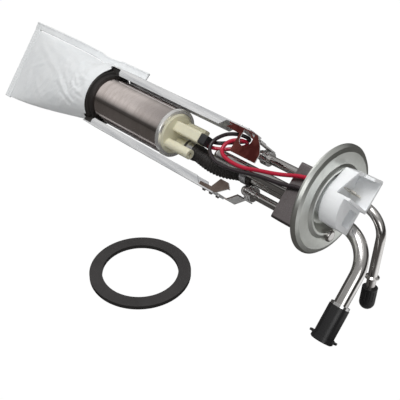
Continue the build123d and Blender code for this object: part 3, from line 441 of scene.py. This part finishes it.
def mesh_piece(name, shape, material):
    """A finished smooth piece whose place is in its mesh, from its points, faces and UV places."""
    points, faces, uvs = shape
    mesh = bpy.data.meshes.new(name)
    mesh.from_pydata(points, [], faces)
    mesh.validate()
    layer = mesh.uv_layers.new(name="UVMap")
    for loop in mesh.loops:
        layer.data[loop.index].uv = uvs[loop.vertex_index]
    for polygon in mesh.polygons:
        polygon.use_smooth = True
    mesh.materials.append(material)
    piece = bpy.data.objects.new(name, mesh)
    bpy.context.scene.collection.objects.link(piece)
    return piece


# Strainer sock: a felt bag that narrows in depth and spreads in width towards its welded end
SOCK_MOUTH = -239.7
SOCK_STATIONS = (
    # x, y and z of the middle, half width, half depth, turn in degrees
    (-239.7, -8.0, 0.0, 23.3, 23.3, 0.0),
    (-248.0, -5.4, -0.5, 26.8, 22.9, 0.3),
    (-270.0, -5.7, -2.1, 30.6, 20.6, 1.0),
    (-290.0, -7.0, -4.0, 32.8, 17.0, 2.2),
    (-315.0, -8.4, -7.4, 35.0, 12.6, 3.8),
    (-340.0, -9.5, -11.0, 36.8, 8.2, 5.2),
    (-360.0, -10.3, -13.3, 37.8, 4.2, 6.4),
    (-377.0, -10.8, -15.0, 38.4, 0.9, 7.4),
)
SOCK_END = SOCK_STATIONS[-1][0]
SOCK_END_TURN = SOCK_STATIONS[-1][5]
SOCK_ROWS = 190
SOCK_COLUMNS = 176
THINNEST = 0.8
MOUTH_FIN = 3.8
HEM_REACH = 5.3

# Its welded bands, across the far end and along the upper side, where one runs on as a free strip
BAND_WIDTH = 6.5
BAND_COLUMNS = 24
END_BAND_MIDDLE = (-380.4, -10.8, -15.0)
END_BAND_REACH = 39.3
END_BAND_SLANT = 1.0
END_BAND_WIDTH = 8.0
END_BAND_ROWS = 150
SIDE_BAND_BACK = -383.6
SIDE_BAND_FRONT = -205.0
SIDE_BAND_ROWS = 220
FREE_STRIP_BACK = -262.0
FREE_STRIP_BLEND = 22.0
FREE_STRIP_Y = 22.4


def between(stations, x):
    """The station at x, a mix of the two around it."""
    for first, second in zip(stations, stations[1:]):
        if second[0] <= x <= first[0]:
            part = (x - first[0]) / (second[0] - first[0])
            return [a + (b - a) * part for a, b in zip(first, second)]
    return list(stations[0 if x > stations[0][0] else -1])


# Long creases: start and end as shares (along, across), width as a share, height in mm
CREASES = (
    (0.95, 0.70, 0.80, -0.66, 0.042, 1.2), (0.96, 0.20, 0.88, -0.80, 0.034, 0.9),
    (0.93, 0.78, 0.44, 0.14, 0.038, 0.8), (0.80, 0.80, 0.30, 0.46, 0.036, 0.6),
    (0.50, 0.30, 0.22, -0.40, 0.034, 0.6), (0.36, 0.05, 0.12, -0.66, 0.026, 0.9),
    (0.30, 0.72, 0.07, 0.34, 0.026, 0.8), (0.27, -0.34, 0.05, -0.80, 0.024, 0.9),
    (0.20, 0.48, 0.03, 0.06, 0.022, 0.8), (0.70, -0.24, 0.46, -0.86, 0.036, 0.7),
    (0.17, -0.05, 0.04, -0.42, 0.020, 0.8), (0.90, -0.10, 0.64, 0.30, 0.028, 0.6),
    (0.14, 0.20, 0.08, -0.20, 0.016, 0.7), (0.24, -0.55, 0.13, -0.85, 0.018, 0.7),
)

# How much a step across the bag counts beside a step along it
ACROSS_SHARE = 0.45


def crease(along, across):
    """Height of the long creases at a place, each a ridge with a soft foot."""
    height = 0.0
    for a0, c0, a1, c1, width, top in CREASES:
        run_a, run_c = a1 - a0, (c1 - c0) * ACROSS_SHARE
        step_c = (across - c0) * ACROSS_SHARE
        part = ((along - a0) * run_a + step_c * run_c) / (run_a * run_a + run_c * run_c)
        part = min(1.0, max(0.0, part))
        gap_a = along - a0 - run_a * part
        gap_c = step_c - run_c * part
        away = math.hypot(gap_a, gap_c) / width
        if away < 3.0:
            ends = min(1.0, 5.0 * part * (1.0 - part) + 0.25)
            height += top * ends * (math.exp(-away * away) - 0.35 * math.exp(-(away - 1.5) ** 2))
    return height


def crumple(along, angle):
    """Sharp small crumples, strongest near the mouth, from ridged noise."""
    place = Vector((along * 9.0 + 3.0, math.cos(angle) * 2.3, math.sin(angle) * 2.3))
    wide = 1.0 - abs(noise.noise(place * 1.1)) * 2.2
    fine = 1.0 - abs(noise.noise(place * 2.7 + Vector((4.0, 1.0, 2.0)))) * 2.2
    near = math.exp(-((along - 0.14) / 0.22) ** 2)
    return wide * (0.5 + 0.5 * near) + fine * (0.12 + 0.5 * near)


def sock_height(along, angle, half_depth):
    """Height of the creases on one side of the bag, calm at both ends and at the edges."""
    across = math.cos(angle)
    side = 1.0 if math.sin(angle) >= 0.0 else -1.0
    rise = crease(along, across) if side > 0 else crease(1.02 - along * 0.96, -across)
    rise = 0.55 * rise + 0.62 * crumple(along, angle) - 0.4
    calm = min(1.0, along / 0.05) * min(1.0, (1.0 - along) / 0.06)
    flat = min(1.0, abs(math.sin(angle)) * 2.2)
    return rise * calm * flat * min(1.0, 0.25 + half_depth / 12.0)


def sock_mesh():
    """The bag, from the hem on the boot to the welded end."""
    rows, columns = SOCK_ROWS, SOCK_COLUMNS
    points, uvs, faces = [], [], []
    length = SOCK_MOUTH - SOCK_END
    for i in range(rows):
        along = i / (rows - 1)
        for j in range(columns):
            angle = 2 * math.pi * j / columns
            hem = min(1.0, max(0.0, (abs(math.sin(angle)) - 0.34) / 0.16))
            reach = HEM_REACH * hem * hem * (3.0 - 2.0 * hem) * max(0.0, 1.0 - along * 9.0)
            x = SOCK_MOUTH - length * along
            _, y, z, half_width, half_depth, turn = between(SOCK_STATIONS, x)
            turn = math.radians(turn)
            band = BAND_WIDTH * min(1.0, max(0.0, (along - 0.01) / 0.10))
            out = sock_height(along, angle, half_depth)
            across = (half_width - band / 2 + out * 0.2) * math.cos(angle) - band / 2
            across += MOUTH_FIN * max(0.0, 1.0 - along * 12.0) * max(0.0, math.cos(angle)) ** 6
            squared = math.copysign(abs(math.sin(angle)) ** 0.9, math.sin(angle))
            thick = max(half_depth + out, THINNEST)
            depth = thick * squared
            points.append(at(x + reach, y + across * math.cos(turn) - depth * math.sin(turn),
                             z + across * math.sin(turn) + depth * math.cos(turn)))
            uvs.append((i / rows, j / columns))
    for i in range(rows - 1):
        row, following = i * columns, (i + 1) * columns
        for j in range(columns):
            k = (j + 1) % columns
            faces.append((row + j, following + j, following + k, row + k))
    faces.append(tuple(reversed(range((rows - 1) * columns, rows * columns))))
    return points, faces, uvs


sock = mesh_piece("sock_bag", sock_mesh(), filter_felt)


def band_mesh(line, width, thick, ribs):
    """A welded band: a flat strip along a line of (middle, across, up), with pressed ribs."""
    rows, columns = len(line), BAND_COLUMNS
    points, uvs, faces = [], [], []
    for layer in (1, -1):
        for i, (middle, across, up) in enumerate(line):
            share = i / (rows - 1)
            for j in range(columns):
                side = 2 * j / (columns - 1) - 1
                rim = min(1.0, 9 * (1 - abs(side)))
                ridge = 0.45 * math.exp(-((side + 0.72) / 0.16) ** 2)
                rib = ribs * math.sin(i * 1.3) * max(0.0, 1.0 - abs(side) * 1.6)
                place = middle + across * (side * width / 2)
                place += up * layer * (0.2 + (thick / 2 + ridge + rib) * rim)
                points.append(at(*place))
                uvs.append((share * 1.2, j * 0.004))
    count = rows * columns
    for layer in (0, 1):
        for i in range(rows - 1):
            for j in range(columns - 1):
                a = layer * count + i * columns + j
                quad = (a, a + 1, a + columns + 1, a + columns)
                faces.append(tuple(reversed(quad)) if layer else quad)
    rim = list(range(columns))
    rim += [i * columns + columns - 1 for i in range(1, rows)]
    rim += [(rows - 1) * columns + j for j in range(columns - 2, -1, -1)]
    rim += [i * columns for i in range(rows - 2, 0, -1)]
    for first, second in zip(rim, rim[1:] + rim[:1]):
        faces.append((second, first, first + count, second + count))
    return points, faces, uvs


def end_band_line():
    """The weld across the far end."""
    turn = math.radians(SOCK_END_TURN)
    across = Vector((-1.0, 0.0, 0.0))
    up = Vector((0.0, -math.sin(turn), math.cos(turn)))
    x, y, z = END_BAND_MIDDLE
    line = []
    for i in range(END_BAND_ROWS):
        share = 2 * i / (END_BAND_ROWS - 1) - 1
        middle = Vector((x + END_BAND_SLANT * share, y + END_BAND_REACH * share * math.cos(turn),
                         z + END_BAND_REACH * share * math.sin(turn)))
        line.append((middle, across, up))
    return line


def side_band_line():
    """The weld along the upper side, which runs on past the mouth as a free strip by the arm."""
    line = []
    for i in range(SIDE_BAND_ROWS):
        x = SIDE_BAND_BACK + (SIDE_BAND_FRONT - SIDE_BAND_BACK) * i / (SIDE_BAND_ROWS - 1)
        _, y, z, half_width, _, turn = between(SOCK_STATIONS, max(min(x, SOCK_MOUTH), SOCK_END))
        turn = math.radians(turn)
        reach = half_width - BAND_WIDTH / 2 + 0.8
        rest = min(1.0, max(0.0, (x - FREE_STRIP_BACK) / FREE_STRIP_BLEND))
        middle = Vector((x, y + reach * math.cos(turn), z + reach * math.sin(turn)))
        middle.y = middle.y * (1 - rest) + FREE_STRIP_Y * rest
        middle.z += 0.35 * math.sin(i * 0.09) * (1.0 if rest < 1 else 0.6)
        across = Vector((0.0, -math.cos(turn), -math.sin(turn)))
        up = Vector((0.0, -math.sin(turn), math.cos(turn)))
        line.append((middle, across, up))
    return line


end_shape = band_mesh(end_band_line(), END_BAND_WIDTH, 1.5, 0.16)
end_band = mesh_piece("sock_end_band", end_shape, filter_felt)
side_shape = band_mesh(side_band_line(), BAND_WIDTH, 1.3, 0.06)
side_band = mesh_piece("sock_side_band", side_shape, filter_felt)
for piece in (sock, end_band, side_band):
    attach(piece, "module")
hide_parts("strainer_sock")


# Corrugated fuel hose: rings pressed along its own smooth line
HOSE_ROUTE = (
    (-134.5, -13.0, -7.0), (-128.5, -13.0, -7.0), (-122.5, -13.0, -7.0), (-114.0, -14.5, -7.6),
    (-106.0, -15.6, -9.2), (-95.0, -14.2, -12.6), (-86.0, -9.9, -14.5), (-80.0, -9.7, -14.5),
    (-72.0, -9.7, -14.5),
)


def new_tree(name, inputs):
    """A geometry tree with named inputs: the tree, its entry and its exit."""
    tree = bpy.data.node_groups.new(name, "GeometryNodeTree")
    tree.interface.new_socket("Geometry", in_out="INPUT", socket_type="NodeSocketGeometry")
    for label, kind, value in inputs:
        tree.interface.new_socket(label, in_out="INPUT", socket_type=kind).default_value = value
    tree.interface.new_socket("Geometry", in_out="OUTPUT", socket_type="NodeSocketGeometry")
    return tree, tree.nodes.new("NodeGroupInput"), tree.nodes.new("NodeGroupOutput")


def ringed_hose_tree():
    """Turns a line into a hose whose rings have one pitch and whose cuffs are plain."""
    tree, entry, leave = new_tree("ringed hose", (
        ("Radius", "NodeSocketFloat", 0.0061), ("Ring height", "NodeSocketFloat", 0.0005),
        ("Ring pitch", "NodeSocketFloat", 0.0024), ("Cuff length", "NodeSocketFloat", 0.010),
        ("Step", "NodeSocketFloat", 0.0004), ("Rubber", "NodeSocketMaterial", None),
    ))
    even = tree.nodes.new("GeometryNodeResampleCurve")
    even.mode = "LENGTH"
    tree.links.new(entry.outputs["Geometry"], even.inputs["Curve"])
    tree.links.new(entry.outputs["Step"], even.inputs["Length"])
    along = tree.nodes.new("GeometryNodeSplineParameter")
    whole = tree.nodes.new("GeometryNodeSplineLength")
    keep = tree.nodes.new("GeometryNodeStoreNamedAttribute")
    keep.data_type = "FLOAT"
    keep.domain = "POINT"
    keep.inputs["Name"].default_value = "swell"
    turns = math_node(tree, "DIVIDE", along.outputs["Length"], entry.outputs["Ring pitch"])
    wave = math_node(tree, "COSINE", math_node(tree, "MULTIPLY", turns, 2 * math.pi))
    left = math_node(tree, "SUBTRACT", whole.outputs["Length"], along.outputs["Length"])
    nearest = math_node(tree, "MINIMUM", along.outputs["Length"], left)
    ringed = math_node(tree, "GREATER_THAN", nearest, entry.outputs["Cuff length"])
    cuff = math_node(tree, "MULTIPLY", math_node(tree, "SUBTRACT", 1.0, ringed), 0.8)
    shape = math_node(tree, "ADD", math_node(tree, "MULTIPLY", wave, ringed), cuff)
    height = math_node(tree, "MULTIPLY", shape, entry.outputs["Ring height"])
    tree.links.new(height, keep.inputs["Value"])
    tree.links.new(even.outputs["Curve"], keep.inputs["Geometry"])
    ring = tree.nodes.new("GeometryNodeCurvePrimitiveCircle")
    ring.inputs["Resolution"].default_value = 40
    tree.links.new(entry.outputs["Radius"], ring.inputs["Radius"])
    tube = tree.nodes.new("GeometryNodeCurveToMesh")
    tube.inputs["Fill Caps"].default_value = True
    tree.links.new(keep.outputs["Geometry"], tube.inputs["Curve"])
    tree.links.new(ring.outputs["Curve"], tube.inputs["Profile Curve"])
    swell = tree.nodes.new("GeometryNodeInputNamedAttribute")
    swell.data_type = "FLOAT"
    swell.inputs["Name"].default_value = "swell"
    outward = tree.nodes.new("GeometryNodeInputNormal")
    push = tree.nodes.new("ShaderNodeVectorMath")
    push.operation = "SCALE"
    tree.links.new(outward.outputs["Normal"], push.inputs[0])
    tree.links.new(swell.outputs["Attribute"], push.inputs["Scale"])
    move = tree.nodes.new("GeometryNodeSetPosition")
    tree.links.new(tube.outputs["Mesh"], move.inputs["Geometry"])
    tree.links.new(push.outputs[0], move.inputs["Offset"])
    finish_tree(tree, move.outputs["Geometry"], entry.outputs["Rubber"], leave)
    return tree


def finish_tree(tree, geometry, material, leave):
    """The end of a tree: smooth faces, real geometry and its finish."""
    shade = tree.nodes.new("GeometryNodeSetShadeSmooth")
    shade.inputs["Shade Smooth"].default_value = True
    real = tree.nodes.new("GeometryNodeRealizeInstances")
    coat = tree.nodes.new("GeometryNodeSetMaterial")
    tree.links.new(geometry, shade.inputs["Geometry"])
    tree.links.new(shade.outputs["Geometry"], real.inputs["Geometry"])
    tree.links.new(real.outputs["Geometry"], coat.inputs["Geometry"])
    tree.links.new(material, coat.inputs["Material"])
    tree.links.new(coat.outputs["Geometry"], leave.inputs["Geometry"])


def grown(name, source, tree, material):
    """A piece with the mesh that a geometry tree makes of a source object, which is removed."""
    modifier = source.modifiers.new("shape", "NODES")
    modifier.node_group = tree
    for item in tree.interface.items_tree:
        if item.item_type == "SOCKET" and item.socket_type == "NodeSocketMaterial":
            modifier[item.identifier] = material
    bpy.context.view_layer.update()
    mesh = bpy.data.meshes.new_from_object(source.evaluated_get(bpy.context.evaluated_depsgraph_get()))
    mesh.name = name
    bpy.data.objects.remove(source)
    piece = bpy.data.objects.new(name, mesh)
    bpy.context.scene.collection.objects.link(piece)
    return piece


hose_line = line_object("hose_line", HOSE_ROUTE, order=4, steps=40)
hose = grown("hose_rings", hose_line, ringed_hose_tree(), boot_rubber)
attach(hose, "module")
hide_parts("fuel_hose")


# Ground and light
def ray_kinds(tree, glossy_share):
    """1 for the camera and through clear pieces, and a share, a number or a socket, for glossy rays."""
    path = tree.nodes.new("ShaderNodeLightPath")
    glossy = math_node(tree, "MULTIPLY", path.outputs["Is Glossy Ray"], glossy_share)
    clear = math_node(tree, "ADD", path.outputs["Is Transmission Ray"], glossy)
    return math_node(tree, "MINIMUM", math_node(tree, "ADD", path.outputs["Is Camera Ray"], clear), 1.0)


# Paper: its greys for the object and for metal, its glow, and a patch that stays bright in metal
PAPER_HALF = 4.0
PAPER_TOP = -0.0002
PAPER_GREY = (0.50, 0.50, 0.50, 1.0)
PAPER_IN_METAL = (0.055, 0.05, 0.046, 1.0)
PAPER_GLOW = 1.02
PAPER_GLOW_SHARE = 0.985
PATCH_PLACE = (0.290, 0.115, 0.0)
PATCH_RADIUS = 0.13
PATCH_SHARE = 1.0
PATCH_SHARE_BEYOND = 0.04

# Room: its strength, the share left between its bright side and its ceiling, and levels by height
ROOM_STRENGTH = 0.75
BETWEEN_SHARE = 0.45
SIDE_FADE = (-0.70, -0.64)
SIDE_SLANT = 0.12
CEILING_FADE = (0.70, 0.88)
ROOM_LEVELS = ((0.16, 0.10), (0.34, 0.62), (0.52, 1.0))


def ground():
    """White paper that keeps a faint shadow and lights the object from below."""
    mesh = bpy.data.meshes.new("ground")
    corners = [(PAPER_HALF * x, PAPER_HALF * y, PAPER_TOP) for x, y in ((-1, -1), (1, -1), (1, 1), (-1, 1))]
    mesh.from_pydata(corners, [], [(0, 1, 2, 3)])
    plane = bpy.data.objects.new("ground", mesh)
    material = bpy.data.materials.new("white paper")
    material.use_nodes = True
    tree = material.node_tree
    paper = tree.nodes["Principled BSDF"]
    path = tree.nodes.new("ShaderNodeLightPath")
    bounce = tree.nodes.new("ShaderNodeMix")
    bounce.data_type = "RGBA"
    bounce.inputs["A"].default_value = PAPER_GREY
    bounce.inputs["B"].default_value = PAPER_IN_METAL
    tree.links.new(path.outputs["Is Glossy Ray"], bounce.inputs["Factor"])
    tree.links.new(bounce.outputs["Result"], paper.inputs["Base Color"])
    paper.inputs["Roughness"].default_value = 1.0
    paper.inputs["Specular IOR Level"].default_value = 0.0
    glow = tree.nodes.new("ShaderNodeEmission")
    glow.inputs["Strength"].default_value = PAPER_GLOW
    coordinates = tree.nodes.new("ShaderNodeTexCoord")
    away = tree.nodes.new("ShaderNodeVectorMath")
    away.operation = "DISTANCE"
    away.inputs[1].default_value = PATCH_PLACE
    tree.links.new(coordinates.outputs["Object"], away.inputs[0])
    patch = range_node(tree, away.outputs["Value"], (PATCH_RADIUS * 0.4, PATCH_RADIUS),
                       (PATCH_SHARE, PATCH_SHARE_BEYOND), smooth=True)
    mix = tree.nodes.new("ShaderNodeMixShader")
    share = math_node(tree, "MULTIPLY", ray_kinds(tree, patch), PAPER_GLOW_SHARE)
    tree.links.new(share, mix.inputs["Fac"])
    tree.links.new(paper.outputs[0], mix.inputs[1])
    tree.links.new(glow.outputs[0], mix.inputs[2])
    tree.links.new(mix.outputs[0], tree.nodes["Material Output"].inputs["Surface"])
    mesh.materials.append(material)
    bpy.context.scene.collection.objects.link(plane)


def studio():
    """A soft room: white for the camera, and for the object pale above and dark near the floor.

    Only the ceiling and the side of lowest x are at full strength, which gives the casing its tones.
    """
    world = bpy.data.worlds.new("studio")
    bpy.context.scene.world = world
    world.use_nodes = True
    tree = world.node_tree
    base = tree.nodes["Background"]
    coordinates = tree.nodes.new("ShaderNodeTexCoord")
    split = tree.nodes.new("ShaderNodeSeparateXYZ")
    tree.links.new(coordinates.outputs["Generated"], split.inputs[0])
    ramp = tree.nodes.new("ShaderNodeValToRGB")
    stops = ramp.color_ramp.elements
    stops[0].position = 0.0
    stops[0].color = (0.06, 0.055, 0.05, 1.0)
    stops[1].position = 1.0
    stops[1].color = (1.0, 1.0, 1.0, 1.0)
    for place, level in ROOM_LEVELS:
        stop = stops.new(place)
        stop.color = (level, level * 0.99, level * 0.975, 1.0)
    tree.links.new(split.outputs["Z"], ramp.inputs["Fac"])
    slant = math_node(tree, "MULTIPLY", split.outputs["Z"], SIDE_SLANT)
    sideways = math_node(tree, "ADD", split.outputs["X"], slant)
    side = range_node(tree, sideways, SIDE_FADE, (1.0, BETWEEN_SHARE), smooth=True)
    ceiling = range_node(tree, split.outputs["Z"], CEILING_FADE, smooth=True)
    level = math_node(tree, "MAXIMUM", side, ceiling)
    tree.links.new(math_node(tree, "MULTIPLY", level, ROOM_STRENGTH), base.inputs["Strength"])
    tree.links.new(ramp.outputs["Color"], base.inputs["Color"])
    white = tree.nodes.new("ShaderNodeBackground")
    white.inputs["Strength"].default_value = 1.0
    white.inputs["Color"].default_value = (1.0, 1.0, 1.0, 1.0)
    mix = tree.nodes.new("ShaderNodeMixShader")
    tree.links.new(ray_kinds(tree, 0.0), mix.inputs["Fac"])
    tree.links.new(base.outputs[0], mix.inputs[1])
    tree.links.new(white.outputs[0], mix.inputs[2])
    tree.links.new(mix.outputs[0], tree.nodes["World Output"].inputs["Surface"])


# Where the lamps look
OBJECT_MIDDLE = (0.0, 0.0, 0.05)


def soft_box(name, place, size, watts):
    """A square lamp turned to the object's middle."""
    data = bpy.data.lights.new(name, "AREA")
    data.shape = "SQUARE"
    data.size = size
    data.energy = watts
    lamp = bpy.data.objects.new(name, data)
    lamp.location = place
    lamp.rotation_mode = "QUATERNION"
    lamp.rotation_quaternion = (Vector(OBJECT_MIDDLE) - Vector(place)).to_track_quat("-Z", "Y")
    bpy.context.scene.collection.objects.link(lamp)


ground()
studio()
soft_box("key", (0.1, -0.25, 1.3), 0.8, 9.0)
soft_box("fill", (0.9, -0.5, 0.5), 0.5, 1.2)
bpy.context.scene.view_settings.view_transform = "Standard"
